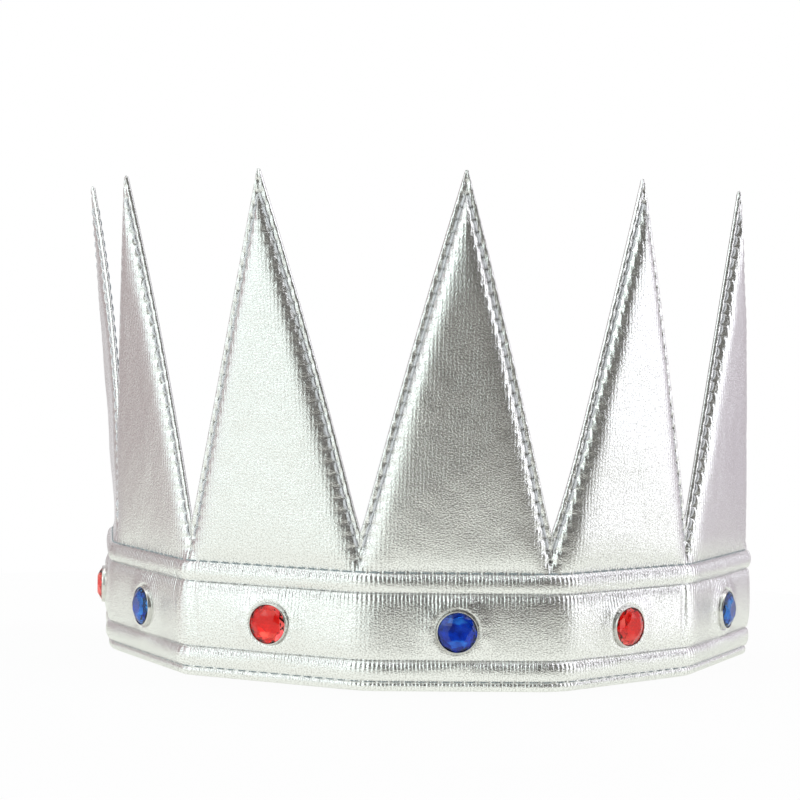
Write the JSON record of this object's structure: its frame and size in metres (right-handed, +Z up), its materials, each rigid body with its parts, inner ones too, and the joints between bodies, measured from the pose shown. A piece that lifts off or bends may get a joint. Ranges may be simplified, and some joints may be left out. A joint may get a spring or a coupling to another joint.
{
  "type": "costume crown",
  "caption": "Padded costume crown of silver coated fabric: a stitched band with tall points, riveted red and blue faceted stones, and an elastic strap behind.",
  "frame": {"origin": "centre of the crown's outer box in X and Y, at the height of the hem it stands on", "axes": "+Z up along the points; the front of the crown faces -Y; +X to the right seen from the front"},
  "size_m": [0.1946, 0.1274, 0.1325],
  "materials": {
    "silver_fabric": "bright metallic coated fabric with a fine ribbed grain",
    "foam": "soft open-cell foam sheet",
    "lining": "plain woven lining",
    "elastic": "woven elastic tape",
    "red_stone": "clear faceted acrylic with a mirror back",
    "blue_stone": "clear faceted acrylic with a mirror back",
    "nickel_plate": "nickel-plated pressed metal"
  },
  "bodies": {
    "root": {"front_fabric": "silver_fabric", "foam_core": "foam", "lining_fabric": "lining", "elastic_strap": "elastic", "stone_1_red": "red_stone", "stone_cup_1": "nickel_plate", "rivet_cap_1": "nickel_plate", "stone_2_blue": "blue_stone", "stone_cup_2": "nickel_plate", "rivet_cap_2": "nickel_plate", "stone_3_red": "red_stone", "stone_cup_3": "nickel_plate", "rivet_cap_3": "nickel_plate", "stone_4_blue": "blue_stone", "stone_cup_4": "nickel_plate", "rivet_cap_4": "nickel_plate", "stone_5_red": "red_stone", "stone_cup_5": "nickel_plate", "rivet_cap_5": "nickel_plate", "stone_6_blue": "blue_stone", "stone_cup_6": "nickel_plate", "rivet_cap_6": "nickel_plate"}
  },
  "joints": []
}
